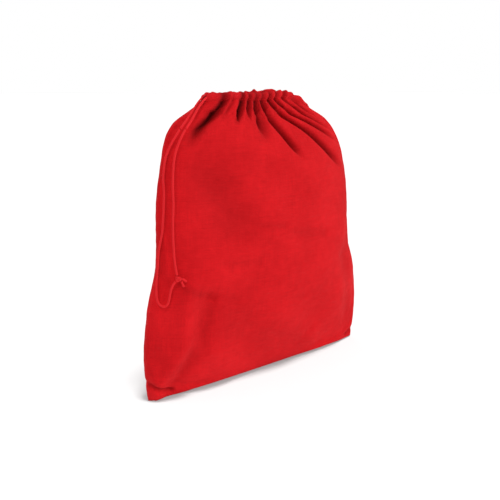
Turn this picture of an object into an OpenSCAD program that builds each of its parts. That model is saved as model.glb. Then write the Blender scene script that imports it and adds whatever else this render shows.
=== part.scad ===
// Drawstring gift sack: two cotton panels sewn along the sides and the bottom, a hemmed
// casing round the mouth, and one cord that runs through it and hangs in a knotted loop.
// The sack stands filled and drawn closed. Front is -Y, the cord leaves at -X.

/* [Sack] */
// Height of the drawn sack, floor to the top of the casing
sack_h = 395; // [330:1:450]
// Greatest width of the filled sack
sack_w = 388; // [320:1:440]
// Greatest depth of the filled sack
sack_d = 87; // [70:1:110]
// Thickness of a panel's solid
cloth_t = 1.0; // [0.8:0.1:1.4]

/* [Mouth] */
// Height of the hemmed casing
casing_h = 11; // [9:0.5:12]
// Thickness of the casing across its channel
casing_t = 6; // [5.5:0.5:7]
// Thickness of the casing's cloth
casing_wall = 0.8; // [0.6:0.1:1]
// Diameter of the sewing thread
thread_d = 0.8; // [0.5:0.1:1]

/* [Drawstring] */
// Diameter of the cord
cord_d = 3; // [2:0.1:3.2]
// Diameter of the knot that joins the two ends
knot_d = 8.5; // [7:0.5:9]

/* [Hidden] */

FRONT = -1;
BACK = 1;

// The outline, each as [share of the height, value]: half width and depths as shares of
// half the width and half the depth, and how far the side seams stand behind the middle.
HALF_WIDTH = [[0, 0.98], [0.05, 0.99], [0.15, 1], [0.3, 0.965], [0.455, 0.88], [0.63, 0.865],
              [0.77, 0.815], [0.85, 0.76], [0.9, 0.68], [0.94, 0.535], [0.97, 0.435], [1, 0.38]];
FRONT_DEPTH = [[0, 0.25], [0.05, 0.4], [0.15, 0.68], [0.3, 0.93], [0.455, 1], [0.63, 0.95],
               [0.77, 0.86], [0.9, 0.62], [1, 0.42]];
BACK_DEPTH = [[0, 0.85], [0.05, 0.95], [0.15, 1], [0.3, 1], [0.455, 0.98], [0.63, 0.88],
              [0.77, 0.78], [0.9, 0.6], [1, 0.42]];
SEAM_SHIFT = [[0, 0], [0.15, -1], [0.3, -1], [0.63, 2], [0.77, 4], [0.85, 10], [0.9, 15],
              [0.94, 19], [1, 20]];
// How square the plan is: high at the foot, where the front edge lies straight.
FRONT_SQUARE = [[0, 6], [0.05, 4.5], [0.15, 3.2], [0.3, 2.7], [1, 2.1]];
BACK_SQUARE = [[0, 2.8], [0.3, 2.6], [1, 2.1]];
PLAN_ROUND = 1.9;

edge_gap = 0.5;              // from each panel's side edge to the seam line
foot_round = 3;              // height of the turn from the floor to the wall
panel_top = sack_h - casing_h - 0.6;
panel_rows = 30;
panel_cols = 26;
edge_inset = 2;              // of the front edge's corners, at the turn to the wall
floor_inset = 4;             // of the panel's corners, on the floor

casing_z = sack_h - casing_h / 2;
mouth_a = HALF_WIDTH[11][1] * sack_w / 2 + 4;
mouth_b = 19;
mouth_y = 20;
half_mouth_run = 2.2 * mouth_a;
casing_sides = 12;
casing_steps = 30;
slit_angle = 18;             // the casing stops this far short of the left side
casing_end_gap = 1.2;

thread_z = panel_top + 0.8;
thread_sides = 6;
seam_w = 8;                  // width of a seam allowance
seam_t = 1.4;                // its two layers together
seam_rows = 14;
seam_foot = 16;              // the side allowances start this high
seam_in = 3;                 // from the sack's side to an allowance
seam_gap = 0.4;              // from an allowance to the cloth beside it
left_seam_top = 0.93 * sack_h;
right_seam_top = panel_top - 4;
bottom_seam_in = 14;         // from the sack's corners to the ends of the bottom allowance
bartack_h = 5;
bartack_w = 1.6;
bartack_z = 0.95 * sack_h;
bartack_out = 1.5;           // from the seam line to the bar

cord_sides = 8;
knot_facets = 24;
FIRST_ACROSS = [1, 0.3, 0.2];    // sets where a tube's first side lies
run_step = 14;
free_step = 11;
bend_step = 5;

// The free cord, from where each strand leaves the casing to the knot.
FRONT_SHOULDER = [[-75, 14, 390], [-80, 12, 388], [-86, 11, 385], [-96, 8, 377],
                  [-107, 3, 367], [-116, -1, 358], [-125, -4, 350]];
BACK_SHOULDER = [[-76, 25, 390], [-81, 21, 389], [-87, 17, 386], [-95, 14, 380],
                 [-109, 7, 369], [-122, 2, 358], [-131, -1, 350]];
FRONT_STRAND = [[-126, -4, 349], [-132, -6, 342], [-140, -8, 330], [-147, -11, 315],
                [-151, -14, 300], [-154, -17, 280], [-155, -19, 260], [-157, -20, 240],
                [-158, -21, 220], [-158, -22, 200], [-158, -24, 185], [-157, -26, 172]];
BACK_STRAND = [[-132, -1, 349], [-139, -2, 341], [-149, -3, 328], [-156, -4, 313],
               [-161, -7, 293], [-163, -11, 273], [-165, -12, 253], [-168, -12, 226],
               [-172, -9, 203], [-174, -8, 182], [-175, -8, 172]];
LOOP_END = [[-175, -8, 171], [-177, -9, 160], [-179, -12, 149], [-180, -15, 141],
            [-178, -18, 135], [-174, -21, 133], [-170, -23, 136], [-168, -24, 143],
            [-166, -24, 151], [-164, -25, 158], [-160, -26, 164]];
KNOT_AT = [-156, -27, 167];
FRONT_TAIL = [[-152.5, -28.5, 164], [-151, -29, 160], [-150, -30, 156]];
BACK_TAIL = [[-151.5, -28.5, 167], [-148.5, -29.5, 165], [-146, -30, 162]];

// A smooth curve through [key, value] pairs that never overshoots them.
function rise(k, i) = (k[i + 1][1] - k[i][1]) / (k[i + 1][0] - k[i][0]);
function lean(k, i) =
    i == 0 ? rise(k, 0) :
    i == len(k) - 1 ? rise(k, i - 1) :
    rise(k, i - 1) * rise(k, i) <= 0 ? 0 :
    2 * rise(k, i - 1) * rise(k, i) / (rise(k, i - 1) + rise(k, i));
function span_at(k, x, i = 0) = i >= len(k) - 2 || x < k[i + 1][0] ? i : span_at(k, x, i + 1);
function along(k, x) =
    let (i = span_at(k, x), h = k[i + 1][0] - k[i][0], t = (x - k[i][0]) / h)
    (2 * pow(t, 3) - 3 * t * t + 1) * k[i][1] + (3 * t * t - 2 * pow(t, 3)) * k[i + 1][1]
    + (pow(t, 3) - 2 * t * t + t) * h * lean(k, i) + (pow(t, 3) - t * t) * h * lean(k, i + 1);

function half_width(z) = along(HALF_WIDTH, z / sack_h) * sack_w / 2;
function depth_of(side, z) =
    along(side == FRONT ? FRONT_DEPTH : BACK_DEPTH, z / sack_h) * sack_d / 2;
function seam_y(z) = along(SEAM_SHIFT, z / sack_h);
function squareness(side, z) = along(side == FRONT ? FRONT_SQUARE : BACK_SQUARE, z / sack_h);
function bulge(side, z, t) =
    pow(max(0, 1 - pow(abs(cos(t)), squareness(side, z))), 1 / PLAN_ROUND);

// A panel's rows run from the bottom seam across the floor and up the wall.
// Each is [height, inset of the side edge, share of the depth, depth taken off].
function wall_row(i) =
    let (z = foot_round + (panel_top - foot_round) * (i / (panel_rows - 3)))
    [z, 0, 1, 0];
function panel_row(i) =
    i == 0 ? [0, floor_inset, 0, 0] :
    i == 1 ? [0, edge_inset, 1, foot_round] :
    wall_row(i - 2);
function panel_point(side, row, t, inset) =
    let (z = max(row[0], inset),
         a = half_width(z) - row[1] - inset,
         d = row[2] * (depth_of(side, z) - row[3]) - inset * row[2] - edge_gap,
         run = max(row[2] == 0 ? cloth_t - inset / 2 : 0.01, d * bulge(side, z, t)))
    [a * cos(t), seam_y(z) + side * (edge_gap + run), z];
function panel_layer(side, inset) = [
    for (i = [0:panel_rows - 1], j = [0:panel_cols - 1])
        panel_point(side, panel_row(i), 180 * j / (panel_cols - 1), inset)
];

// Faces of a solid sheet made of an outer and an inner grid of rows and columns.
// A ring's last column joins its first one.
function quad(a, b, c, d, flip) = flip ? [[a, c, b], [a, d, c]] : [[a, b, c], [a, c, d]];
function sheet_faces(rows, cols, ring, flip) =
    let (last = ring ? cols - 1 : cols - 2, inner = rows * cols)
    [
        for (i = [0:rows - 2], j = [0:last], layer = [0, 1])
            let (k = (j + 1) % cols, s = layer * inner)
            each quad(s + i * cols + j, s + i * cols + k, s + (i + 1) * cols + k,
                      s + (i + 1) * cols + j, layer == 0 ? flip : !flip),
        for (j = [0:last], i = [0, rows - 1])
            let (k = (j + 1) % cols)
            each quad(i * cols + j, inner + i * cols + j, inner + i * cols + k,
                      i * cols + k, i == 0 ? flip : !flip),
        if (!ring)
            for (i = [0:rows - 2], j = [0, cols - 1])
                each quad(i * cols + j, (i + 1) * cols + j, inner + (i + 1) * cols + j,
                          inner + i * cols + j, j == 0 ? flip : !flip)
    ];

module panel(side) {
    polyhedron(points = concat(panel_layer(side, 0), panel_layer(side, cloth_t)),
               faces = sheet_faces(panel_rows, panel_cols, false, side == BACK));
}

// The line round the mouth, 0 degrees at the right side and 180 at the left.
function mouth_point(side, t, z) = [mouth_a * cos(t), mouth_y + side * mouth_b * sin(t), z];
function mouth_out(side, t) =
    let (v = [cos(t) / mouth_a, side * sin(t) / mouth_b]) v / norm(v);
function mouth_start() = asin(casing_end_gap / mouth_b);
function mouth_angle(f) = mouth_start() + f * (180 - slit_angle - mouth_start());

function casing_layer(side, inset) = [
    for (i = [0:casing_steps], j = [0:casing_sides - 1])
        let (t = mouth_angle(i / casing_steps), n = mouth_out(side, t),
             q = 360 * j / casing_sides,
             across = (casing_t / 2 - inset) * cos(q),
             up = (casing_h / 2 - inset) * sin(q))
        mouth_point(side, t, casing_z) + [n[0] * across, n[1] * across, up]
];

module casing(side) {
    polyhedron(points = concat(casing_layer(side, 0), casing_layer(side, casing_wall)),
               faces = sheet_faces(casing_steps + 1, casing_sides, true, side == FRONT));
}

// A tube swept along a line of points.
function unit(v) = v / norm(v);
function heading(p, i) =
    unit(p[min(i + 1, len(p) - 1)] - p[max(i - 1, 0)]);
function square_to(n, h) = unit(n - (n * h) * h);
function sides_of(p) = [
    for (i = 0, n = square_to(FIRST_ACROSS, heading(p, 0)); i < len(p);
         i = i + 1, n = square_to(n, heading(p, min(i, len(p) - 1)))) n
];

module tube(p, d, sides) {
    across = sides_of(p);
    last = (len(p) - 1) * sides;
    points = [
        for (i = [0:len(p) - 1], j = [0:sides - 1])
            p[i] + d / 2 * (cos(360 * j / sides) * across[i]
                            + sin(360 * j / sides) * cross(heading(p, i), across[i]))
    ];
    faces = [
        for (i = [0:len(p) - 2], j = [0:sides - 1])
            let (k = (j + 1) % sides)
            each quad(i * sides + j, i * sides + k, (i + 1) * sides + k,
                      (i + 1) * sides + j, true),
        [for (j = [0:sides - 1]) j],
        [for (j = [sides - 1:-1:0]) last + j]
    ];
    polyhedron(points = points, faces = faces);
}

// A smooth line through a route's points, with a point about every step.
function bend_point(a, b, c, d, t) =
    0.5 * (2 * b + (c - a) * t + (2 * a - 5 * b + 4 * c - d) * t * t
           + (3 * b - a - 3 * c + d) * t * t * t);
function route_line(p, step) = [
    for (i = [0:len(p) - 2])
        let (n = max(1, round(norm(p[i + 1] - p[i]) / step)))
        for (k = [0:n - 1])
            bend_point(p[max(i - 1, 0)], p[i], p[i + 1], p[min(i + 2, len(p) - 1)], k / n),
    p[len(p) - 1]
];

module run_in_casing(side) {
    steps = round(half_mouth_run / run_step);
    tube([for (i = [0:steps]) mouth_point(side, mouth_angle(i / steps), casing_z)],
         cord_d, cord_sides);
}

module casing_stitching(side) {
    tube([for (i = [0:casing_steps])
              let (t = mouth_angle(i / casing_steps), n = mouth_out(side, t))
              mouth_point(side, t, thread_z) + (casing_t / 2 + thread_d) * [n[0], n[1], 0]],
         thread_d, thread_sides);
}

// The two turned-in layers along a side, standing inside the sack on its front half.
module side_seam(hand, top) {
    rows = seam_rows;
    function level(i) = seam_foot + (top - seam_foot) * i / (rows - 1);
    function corner(i, j) =
        let (z = level(i), x = half_width(z) - seam_in, y = seam_y(z) - edge_gap - seam_gap)
        [hand * (j == 0 || j == 3 ? x : x - seam_w), j < 2 ? y : y - seam_t, z];
    polyhedron(
        points = [for (i = [0:rows - 1], j = [0:3]) corner(i, j)],
        faces = [
            for (i = [0:rows - 2], j = [0:3])
                let (k = (j + 1) % 4)
                each quad(4 * i + j, 4 * i + k, 4 * i + 4 + k, 4 * i + 4 + j, hand > 0),
            each quad(0, 3, 2, 1, hand > 0),
            each quad(4 * rows - 4, 4 * rows - 3, 4 * rows - 2, 4 * rows - 1, hand > 0)
        ]);
}

module front_panel() {
    color([0.84, 0.12, 0.15]) panel(FRONT);
}

module back_panel() {
    color([0.84, 0.12, 0.15]) panel(BACK);
}

module front_casing() {
    color([0.88, 0.15, 0.17]) casing(FRONT);
}

module back_casing() {
    color([0.88, 0.15, 0.17]) casing(BACK);
}

module front_casing_stitching() {
    color([0.7, 0.08, 0.1]) casing_stitching(FRONT);
}

module back_casing_stitching() {
    color([0.7, 0.08, 0.1]) casing_stitching(BACK);
}

module left_side_seam() {
    color([0.75, 0.1, 0.12]) side_seam(-1, left_seam_top);
}

module right_side_seam() {
    color([0.75, 0.1, 0.12]) side_seam(1, right_seam_top);
}

module bottom_seam() {
    length = 2 * (half_width(0) - bottom_seam_in);
    color([0.75, 0.1, 0.12])
        translate([-length / 2, -edge_gap - cloth_t - seam_t - seam_gap, cloth_t + seam_gap])
            cube([length, seam_t, seam_w]);
}

// The dense bar of thread that closes the foot of the cord's slit.
module slit_bartack() {
    left = half_width(bartack_z) + bartack_out + bartack_w;
    color([0.7, 0.08, 0.1])
        translate([-left, seam_y(bartack_z) - bartack_w, bartack_z])
            cube([bartack_w, bartack_w, bartack_h]);
}

module cord_front_run() {
    color([0.9, 0.18, 0.2]) run_in_casing(FRONT);
}

module cord_back_run() {
    color([0.9, 0.18, 0.2]) run_in_casing(BACK);
}

module cord_front_shoulder() {
    color([0.9, 0.18, 0.2]) tube(route_line(FRONT_SHOULDER, free_step), cord_d, cord_sides);
}

module cord_back_shoulder() {
    color([0.9, 0.18, 0.2]) tube(route_line(BACK_SHOULDER, free_step), cord_d, cord_sides);
}

module cord_front_strand() {
    color([0.9, 0.18, 0.2]) tube(route_line(FRONT_STRAND, 2 * free_step), cord_d, cord_sides);
}

module cord_back_strand() {
    color([0.9, 0.18, 0.2]) tube(route_line(BACK_STRAND, 2 * free_step), cord_d, cord_sides);
}

module cord_loop_end() {
    color([0.9, 0.18, 0.2]) tube(route_line(LOOP_END, 2 * bend_step), cord_d, cord_sides);
}

module cord_knot() {
    color([0.86, 0.14, 0.16])
        translate(KNOT_AT) rotate([0, 0, 30]) sphere(d = knot_d, $fn = knot_facets);
}

module cord_front_tail() {
    color([0.9, 0.18, 0.2]) tube(route_line(FRONT_TAIL, bend_step), cord_d, cord_sides);
}

module cord_back_tail() {
    color([0.9, 0.18, 0.2]) tube(route_line(BACK_TAIL, bend_step), cord_d, cord_sides);
}

front_panel();
back_panel();
front_casing();
back_casing();
front_casing_stitching();
back_casing_stitching();
left_side_seam();
right_side_seam();
bottom_seam();
slit_bartack();
cord_front_run();
cord_back_run();
cord_front_shoulder();
cord_back_shoulder();
cord_front_strand();
cord_back_strand();
cord_loop_end();
cord_knot();
cord_front_tail();
cord_back_tail();
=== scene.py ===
"""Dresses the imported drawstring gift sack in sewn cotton, thread and twisted cord."""

import logging
import math
from dataclasses import dataclass, field
from enum import Enum
from typing import Callable, Dict, List, Optional, Sequence, Tuple

import bmesh
import bpy
import numpy as np
from mathutils import Matrix, Vector
from mathutils.kdtree import KDTree


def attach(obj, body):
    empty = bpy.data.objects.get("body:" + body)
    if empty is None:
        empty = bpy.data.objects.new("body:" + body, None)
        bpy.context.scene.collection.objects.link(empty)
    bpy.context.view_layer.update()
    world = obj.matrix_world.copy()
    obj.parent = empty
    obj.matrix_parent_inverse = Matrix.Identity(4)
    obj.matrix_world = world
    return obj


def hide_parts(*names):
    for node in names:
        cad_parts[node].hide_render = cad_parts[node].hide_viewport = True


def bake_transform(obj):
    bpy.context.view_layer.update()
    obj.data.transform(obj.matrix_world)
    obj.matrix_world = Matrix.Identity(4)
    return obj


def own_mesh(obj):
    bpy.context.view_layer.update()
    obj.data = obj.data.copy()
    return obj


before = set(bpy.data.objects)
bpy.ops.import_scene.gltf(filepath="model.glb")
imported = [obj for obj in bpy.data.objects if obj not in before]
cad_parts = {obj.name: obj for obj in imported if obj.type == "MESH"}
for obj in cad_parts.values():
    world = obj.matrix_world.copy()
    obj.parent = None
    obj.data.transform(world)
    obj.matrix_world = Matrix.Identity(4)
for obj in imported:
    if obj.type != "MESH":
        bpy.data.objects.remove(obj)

LOG = logging.getLogger("gift_sack")
MM = 0.001
Point = Tuple[float, float, float]
Keys = Sequence[Tuple[float, float]]
# Lengths below this count as nothing, so that nothing is divided by 0.
TINY = 1e-12
# Points this close together, in metres, are one point.
SAME_POINT = 1e-7
# Steps between two points of a route, before its line is spaced out evenly.
ROUTE_STEPS = 40
# A swept line's first side direction leans this way, which no line here starts along.
FIRST_ACROSS: Point = (1.0, 0.3, 0.2)


class Side(Enum):
    """The two halves of the sack, with the way their walls face along Y."""

    FRONT = -1
    BACK = 1

    @property
    def word(self) -> str:
        """The half's name as it starts the names of its pieces."""
        return self.name.lower()


# ---------------------------------------------------------------- plain helpers


def smooth_curve(keys: Keys, x: np.ndarray) -> np.ndarray:
    """Reads a smooth curve through keys that never overshoots them.

    Args:
        keys: Pairs of position and value, in rising order of position.
        x: Where to read the curve.

    Returns:
        The curve's values at x, held at the first and last value outside the keys.
    """
    at = np.array([k for k, _ in keys], float)
    value = np.array([v for _, v in keys], float)
    rise = np.diff(value) / np.diff(at)
    lean = np.empty_like(value)
    lean[0], lean[-1] = rise[0], rise[-1]
    both = rise[:-1] * rise[1:]
    total = np.where(np.abs(rise[:-1] + rise[1:]) < TINY, 1.0, rise[:-1] + rise[1:])
    lean[1:-1] = np.where(both > 0, 2 * both / total, 0.0)
    x = np.clip(np.asarray(x, float), at[0], at[-1])
    i = np.clip(np.searchsorted(at, x, side="right") - 1, 0, len(at) - 2)
    h = at[i + 1] - at[i]
    t = (x - at[i]) / h
    return (
        (2 * t**3 - 3 * t**2 + 1) * value[i]
        + (3 * t**2 - 2 * t**3) * value[i + 1]
        + (t**3 - 2 * t**2 + t) * h * lean[i]
        + (t**3 - t**2) * h * lean[i + 1]
    )


def ease(x: np.ndarray, low: float, high: float) -> np.ndarray:
    """Rises smoothly from 0 at low to 1 at high."""
    t = np.clip((np.asarray(x, float) - low) / (high - low), 0.0, 1.0)
    return t * t * (3 - 2 * t)


def bell(x: np.ndarray, at: float, width: float) -> np.ndarray:
    """Rises smoothly to 1 at a place and falls away on both sides of it."""
    return np.exp(-(((x - at) / width) ** 2))


def grid_normals(points: np.ndarray) -> np.ndarray:
    """Gives the unit normal at each point of a grid of rows and columns.

    Args:
        points: Places, as an array of rows, columns and 3.

    Returns:
        A unit vector for each place.
    """
    up = np.gradient(points, axis=0)
    across = np.gradient(points, axis=1)
    return unit(np.cross(across, up))


def unit(vectors: np.ndarray) -> np.ndarray:
    """Scales each vector to a length of 1."""
    size = np.linalg.norm(vectors, axis=-1, keepdims=True)
    return vectors / np.maximum(size, TINY)


def smooth_route(route: Sequence[Point], step: float) -> np.ndarray:
    """Runs a smooth line through a route's points, with points evenly spaced on it.

    Args:
        route: The points to pass, in metres.
        step: About how far apart the line's points are.

    Returns:
        The line's points.
    """
    p = np.array(route, float)
    before, after = np.vstack([p[:1], p[:-2]]), np.vstack([p[2:], p[-1:]])
    t = np.linspace(0, 1, ROUTE_STEPS, endpoint=False)[None, :, None]
    a, b, c, d = (k[:, None, :] for k in (before, p[:-1], p[1:], after))
    line = 0.5 * (2 * b + (c - a) * t + (2 * a - 5 * b + 4 * c - d) * t**2
                  + (3 * b - a - 3 * c + d) * t**3)
    line = np.vstack([line.reshape(-1, 3), p[-1:]])
    run = run_along(line)
    want = np.linspace(0, run[-1], max(4, round(run[-1] / step) + 1))
    return np.stack([np.interp(want, run, line[:, k]) for k in range(3)], axis=1)


def turning_frames(line: np.ndarray) -> Tuple[np.ndarray, np.ndarray]:
    """Gives two directions square to a line at each point, turning no more than it does.

    Args:
        line: The line's points.

    Returns:
        Each point's first direction, and its second one.
    """
    heading = unit(np.gradient(line, axis=0))
    across = np.empty_like(line)
    side = np.array(FIRST_ACROSS)
    for k, way in enumerate(heading):
        side = unit(side - side.dot(way) * way)
        across[k] = side
    return across, np.cross(heading, across)


def line_length(line: np.ndarray) -> float:
    """The length of a line of points."""
    return float(np.linalg.norm(np.diff(line, axis=0), axis=1).sum())


def run_along(line: np.ndarray) -> np.ndarray:
    """How far along its line each point lies."""
    return np.concatenate([[0.0], np.cumsum(np.linalg.norm(np.diff(line, axis=0), axis=1))])


def grid_piece(
    name: str, points: np.ndarray, uv: np.ndarray, tube: bool = False, flip: bool = False,
    capped: bool = True, shade: Optional[np.ndarray] = None
) -> bpy.types.Object:
    """Makes a mesh piece from a bmesh grid laid on rows and columns of points.

    Args:
        name: The piece's name.
        points: Places, as an array of rows, columns and 3.
        uv: Each point's place on the cloth or cord in metres, rows, columns and 2.
        tube: Whether the last column lies on the first one.
        flip: Whether the faces are turned round.
        capped: Whether a tube's ends are closed.
        shade: Painted shade at each point, 0 to 1, by how deep in a fold it lies, kept as the
            fold attribute that darkens the cloth's colour.

    Returns:
        The new object, at the origin.
    """
    rows, cols = points.shape[:2]
    bm = bmesh.new()
    layer = bm.loops.layers.uv.new("UVMap")
    bmesh.ops.create_grid(bm, x_segments=cols - 1, y_segments=rows - 1, size=1.0)
    bm.verts.ensure_lookup_table()
    start = np.array([v.co[:2] for v in bm.verts])
    row = np.rint((start[:, 1] + 1) / 2 * (rows - 1)).astype(int)
    col = np.rint((start[:, 0] + 1) / 2 * (cols - 1)).astype(int)
    # The fold layer holds the painted shade that darkens the cloth's colour.
    fold = None if shade is None else bm.verts.layers.float.new("fold")
    for vert, i, j in zip(bm.verts, row, col):
        vert.co = points[i, j]
        if fold is not None:
            vert[fold] = shade[i, j]
    for face in bm.faces:
        face.smooth = True
        for loop in face.loops:
            k = loop.vert.index
            loop[layer].uv = uv[row[k], col[k]]
    if tube:
        bmesh.ops.remove_doubles(bm, verts=bm.verts[:], dist=SAME_POINT)
        if capped:
            rim = [e for e in bm.edges if e.is_boundary]
            bmesh.ops.holes_fill(bm, edges=rim, sides=0)
            bmesh.ops.recalc_face_normals(bm, faces=bm.faces[:])
    if flip:
        bmesh.ops.reverse_faces(bm, faces=bm.faces[:])
    mesh = bpy.data.meshes.new(name)
    bm.to_mesh(mesh)
    bm.free()
    piece = bpy.data.objects.new(name, mesh)
    bpy.context.scene.collection.objects.link(piece)
    return piece


def thicken(piece: bpy.types.Object, thickness: float, smooth: bool = False) -> None:
    """Gives a cloth piece its thickness inwards, after one smoothing if asked for.

    Args:
        piece: The piece.
        thickness: The cloth's thickness.
        smooth: Whether it is smoothed first.
    """
    if smooth:
        rounding = piece.modifiers.new("smooth", "SUBSURF")
        rounding.levels = 1
        rounding.render_levels = 1
    wall = piece.modifiers.new("thickness", "SOLIDIFY")
    wall.thickness = thickness
    wall.offset = -1.0


def dress(piece: bpy.types.Object, finish: bpy.types.Material) -> None:
    """Gives a piece its finish."""
    piece.data.materials.append(finish)


def hang(piece: bpy.types.Object, side: Side) -> None:
    """Attaches a piece of the front half to the sack's body; a back piece stays where it is,
    with its place baked into its mesh.

    Args:
        piece: The piece.
        side: The half that it belongs to.
    """
    if side is Side.BACK:
        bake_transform(piece)
    else:
        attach(piece, "sack")


def report(piece: bpy.types.Object) -> None:
    """Logs a piece's name and how many faces it starts from."""
    LOG.info("%s: %d faces", piece.name, len(piece.data.polygons))


# ---------------------------------------------------------------- the sack's outline


@dataclass(frozen=True)
class Outline:
    """The filled sack's outline, as curves over its height."""

    height: float = 0.395
    half_width: float = 0.194
    half_depth: float = 0.0435
    plan_round: float = 1.9
    section_points: int = 721
    widths: Keys = (
        (0, 0.98), (0.05, 0.99), (0.15, 1), (0.3, 0.965), (0.455, 0.88), (0.63, 0.865),
        (0.77, 0.815), (0.85, 0.76), (0.9, 0.68), (0.94, 0.535), (0.97, 0.435), (1, 0.38),
    )
    front_depths: Keys = (
        (0, 0.25), (0.05, 0.4), (0.15, 0.68), (0.3, 0.93), (0.455, 1), (0.63, 0.95),
        (0.77, 0.86), (0.9, 0.62), (1, 0.42),
    )
    back_depths: Keys = (
        (0, 0.85), (0.05, 0.95), (0.15, 1), (0.3, 1), (0.455, 0.98), (0.63, 0.88),
        (0.77, 0.78), (0.9, 0.6), (1, 0.42),
    )
    shifts: Keys = (
        (0, 0), (0.15, -1), (0.3, -1), (0.63, 2), (0.77, 4), (0.85, 10), (0.9, 15),
        (0.94, 19), (1, 20),
    )
    front_squares: Keys = ((0, 6), (0.05, 4.5), (0.15, 3.2), (0.3, 2.7), (1, 2.1))
    back_squares: Keys = ((0, 2.8), (0.3, 2.6), (1, 2.1))

    def width(self, z: np.ndarray) -> np.ndarray:
        """Half the sack's width at height z."""
        return smooth_curve(self.widths, z / self.height) * self.half_width

    def depth(self, side: Side, z: np.ndarray) -> np.ndarray:
        """How far one half stands out from the side seams at height z."""
        keys = self.front_depths if side is Side.FRONT else self.back_depths
        return smooth_curve(keys, z / self.height) * self.half_depth

    def seam_y(self, z: np.ndarray) -> np.ndarray:
        """Where the side seams stand along Y at height z."""
        return smooth_curve(self.shifts, z / self.height) * MM

    def section(self, side: Side, z: float, s: np.ndarray) -> np.ndarray:
        """One half's line at a height, read by its own length.

        Args:
            side: Which half.
            z: The height.
            s: Places along the line, from -1 at the left seam to 1 at the right one.

        Returns:
            The places' X in a first row and their Y in a second one.
        """
        keys = self.front_squares if side is Side.FRONT else self.back_squares
        power = float(smooth_curve(keys, z / self.height))
        turn = np.linspace(0, math.pi, self.section_points)
        x = -float(self.width(z)) * np.cos(turn)
        share = np.maximum(0.0, 1 - np.abs(np.cos(turn)) ** power) ** (1 / self.plan_round)
        y = float(self.seam_y(z)) + side.value * float(self.depth(side, z)) * share
        run = np.concatenate([[0.0], np.cumsum(np.hypot(np.diff(x), np.diff(y)))])
        want = (s + 1) / 2 * run[-1]
        return np.array([np.interp(want, run, x), np.interp(want, run, y)])

    def table(self, side: Side, s: np.ndarray, heights: np.ndarray) -> np.ndarray:
        """The half's lines at several heights, as heights by places by 2."""
        return np.array([self.section(side, z, s).T for z in heights])


@dataclass(frozen=True)
class Fold:
    """One fold that runs down from the gathered mouth.

    Its line is given by keys of height and place along the half, both in the outline's
    terms. Depth and width are in millimetres, the width at the mouth and at its end.
    """

    line: Keys
    depth: float
    width: float
    end_width: float
    hold: float = 0.45
    sharp: float = 1.6

    def share(self, s: np.ndarray, z: np.ndarray, half_run: np.ndarray) -> np.ndarray:
        """How far into the fold places s at heights z lie, 0 outside it and 1 at its foot.

        Args:
            s: Places along the half, from -1 at the left seam to 1 at the right one.
            z: Their heights.
            half_run: Half the length of the half's line at each place.

        Returns:
            The share at each place.
        """
        low, high = self.line[0][0], self.line[-1][0]
        along = (high - z) / (high - low)
        centre = smooth_curve(self.line, z)
        wide = (self.width + (self.end_width - self.width) * np.clip(along, 0, 1)) * MM
        off = np.abs(s - centre) * half_run / wide
        return (1 - ease(along, self.hold, 1.0)) * np.exp(-(off ** self.sharp))


@dataclass(frozen=True)
class Crease:
    """A crease, or a ridge where its depth is below 0, along a line of X and Z.

    The line is in metres; depth and width are in millimetres.
    """

    line: Sequence[Tuple[float, float]]
    depth: float
    width: float

    def dip(self, x: np.ndarray, z: np.ndarray) -> np.ndarray:
        """How deep the crease lies at places x and z, in metres.

        Args:
            x: Places along X, in metres.
            z: Their heights.

        Returns:
            The depth at each place, below 0 on a ridge.
        """
        nearest = np.full(x.shape, np.inf)
        spots = np.stack([x, z], axis=-1)
        for a, b in zip(self.line[:-1], self.line[1:]):
            start, way = np.array(a), np.array(b) - np.array(a)
            share = np.clip(((spots - start) @ way) / (way @ way), 0, 1)
            off = np.linalg.norm(spots - start - share[..., None] * way, axis=-1)
            nearest = np.minimum(nearest, off)
        return self.depth * MM * bell(nearest, 0.0, self.width * MM)


@dataclass(frozen=True)
class Wave:
    """A sine wave: its size, and how fast it runs."""

    size: float
    rate: float

    def at(self, x: np.ndarray, start: float = 0.0) -> np.ndarray:
        """The wave's value at x, from the place in its turn where it starts."""
        return self.size * np.sin(self.rate * x + start)


@dataclass(frozen=True)
class Swell:
    """The shallow hollows between the high places of the filling, on waves that sway."""

    depth: float = 0.0016
    across_length: float = 0.029
    across_start: float = 1.3
    across_sway: Tuple[float, float] = (1.6, 0.047)
    up_length: float = 0.033
    up_start: float = 0.7
    up_sway: Tuple[float, float] = (1.4, 0.052)
    grows: Tuple[float, float] = (0.01, 0.07)
    fades: Tuple[float, float] = (0.28, 0.34)

    def dip(self, side: Side, x: np.ndarray, z: np.ndarray) -> np.ndarray:
        """How far the filling leaves the cloth hollow at places x and z, in metres.

        Args:
            side: Which half.
            x: Places along X, in metres.
            z: Their heights.

        Returns:
            The depth at each place.
        """
        size, length = self.across_sway
        across = np.sin(x / self.across_length + self.across_start
                        + size * np.sin(z / length) + side.value)
        size, length = self.up_sway
        upward = np.sin(z / self.up_length + self.up_start + size * np.sin(x / length))
        body = ease(z, *self.grows) * (1 - ease(z, *self.fades))
        return self.depth * body * across * upward


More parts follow.
